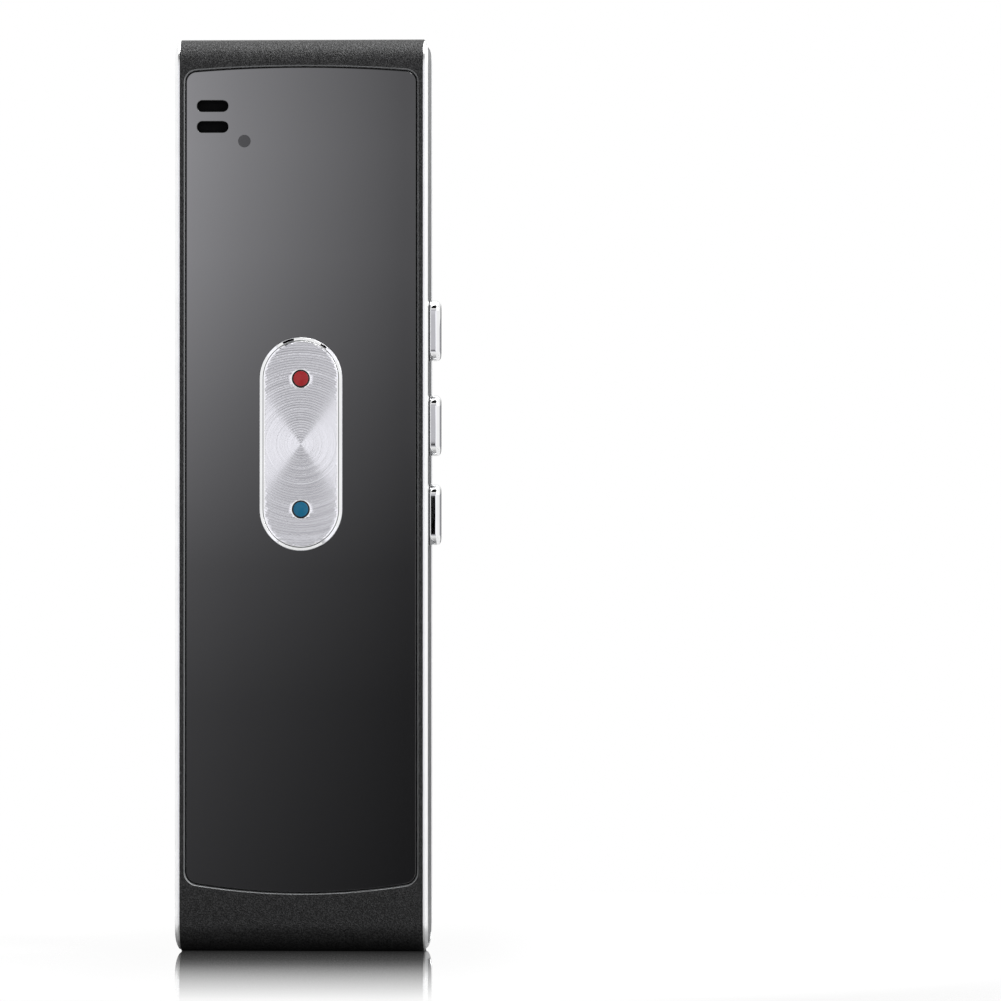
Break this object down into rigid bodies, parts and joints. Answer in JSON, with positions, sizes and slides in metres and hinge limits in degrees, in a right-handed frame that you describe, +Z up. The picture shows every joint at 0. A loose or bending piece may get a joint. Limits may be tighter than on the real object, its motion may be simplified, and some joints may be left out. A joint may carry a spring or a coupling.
{
  "type": "handheld translator",
  "caption": "Slim upright handheld translator with a glass front, an oval rocker key, chromed side buttons and a perforated speaker grille in its back.",
  "frame": {"origin": "the middle of the bottom of the bounding box, on the surface that the upright translator stands on", "axes": "+X to the right seen from the front, +Y from the glass front to the back, +Z up along the body"},
  "size_m": [0.0406, 0.0134, 0.14],
  "materials": {
    "shell_metal": "fine sandblasted, anodised dark grey",
    "silver_frame": "polished with a bright chamfer",
    "side_insert": "grey metallic speckle",
    "panel_glass": "polished black-backed glass",
    "adhesive": "matt foam tape",
    "black_mesh": "fine woven acoustic mesh",
    "smoked_lens": "polished smoked lens",
    "chrome_trim": "mirror chrome",
    "dark_plastic": "fine moulded",
    "spun_metal": "spun in rings that follow the oval",
    "red_enamel": "glossy domed enamel",
    "blue_enamel": "glossy domed enamel",
    "steel": "plain plated steel",
    "pale_plastic": "plain moulded",
    "circuit_board": "satin solder mask",
    "black_rubber": "matt foam rubber",
    "battery_foil": "satin foil pouch",
    "red_lead": "satin wire insulation"
  },
  "bodies": {
    "body": {"front_housing": "shell_metal", "rear_housing": "shell_metal", "left_side_frame": "silver_frame", "right_side_frame": "silver_frame", "left_side_insert": "side_insert", "right_side_insert": "side_insert", "front_panel": "panel_glass", "panel_adhesive": "adhesive", "microphone_mesh": "black_mesh", "indicator_lens": "smoked_lens", "key_trim_ring": "chrome_trim", "rocker_pivot_pin": "steel", "red_key_switch": "dark_plastic", "blue_key_switch": "dark_plastic", "upper_side_switch": "dark_plastic", "middle_side_switch": "dark_plastic", "lower_side_switch": "dark_plastic", "main_board": "circuit_board", "processor_shield": "steel", "memory_chip": "dark_plastic", "charger_chip": "dark_plastic", "amplifier_chip": "dark_plastic", "microphone": "steel", "microphone_boot": "black_rubber", "indicator_led": "pale_plastic", "usb_shell": "steel", "usb_tongue": "dark_plastic", "speaker_mesh": "black_mesh", "speaker_gasket": "black_rubber", "speaker_basket": "steel", "speaker_cone": "dark_plastic", "speaker_magnet": "steel", "battery": "battery_foil", "battery_tape": "adhesive", "battery_connector": "pale_plastic", "battery_lead_red": "red_lead", "battery_lead_black": "dark_plastic", "housing_screw_1": "steel", "housing_screw_2": "steel", "housing_screw_3": "steel", "housing_screw_4": "steel", "housing_screw_5": "steel", "housing_screw_6": "steel", "board_screw_1": "steel", "board_screw_2": "steel", "board_screw_3": "steel", "board_screw_4": "steel"},
    "rocker_key": {"rocker_base": "dark_plastic", "rocker_face": "spun_metal", "red_dot": "red_enamel", "blue_dot": "blue_enamel"},
    "red_plunger": {"red_switch_plunger": "pale_plastic"},
    "blue_plunger": {"blue_switch_plunger": "pale_plastic"},
    "upper_button": {"upper_side_button": "chrome_trim", "upper_switch_plunger": "pale_plastic"},
    "middle_button": {"middle_side_button": "chrome_trim", "middle_switch_plunger": "pale_plastic"},
    "lower_button": {"lower_side_button": "chrome_trim", "lower_switch_plunger": "pale_plastic"}
  },
  "joints": [
    {"name": "rocker_tilt", "type": "hinge", "parent": "body", "child": "rocker_key", "pos_m": [-0.00085, -0.0039, 0.0778], "axis": [1, 0, 0], "range_deg": [-1.4, 1.4], "stiffness_Nm_per_rad": 0.1},
    {"name": "red_plunger_slide", "type": "slide", "parent": "body", "child": "red_plunger", "axis": [0, 1, 0], "range_m": [-0.00026, 0.00026]},
    {"name": "blue_plunger_slide", "type": "slide", "parent": "body", "child": "blue_plunger", "axis": [0, 1, 0], "range_m": [-0.00026, 0.00026]},
    {"name": "upper_button_press", "type": "slide", "parent": "body", "child": "upper_button", "axis": [-1, 0, 0], "range_m": [0, 0.00035], "stiffness_N_per_m": 500},
    {"name": "middle_button_press", "type": "slide", "parent": "body", "child": "middle_button", "axis": [-1, 0, 0], "range_m": [0, 0.00035], "stiffness_N_per_m": 500},
    {"name": "lower_button_press", "type": "slide", "parent": "body", "child": "lower_button", "axis": [-1, 0, 0], "range_m": [0, 0.00035], "stiffness_N_per_m": 500}
  ],
  "couplings": [
    {"joint": "red_plunger_slide", "follows": "rocker_tilt", "m_per_rad": -0.01},
    {"joint": "blue_plunger_slide", "follows": "rocker_tilt", "m_per_rad": 0.01}
  ]
}
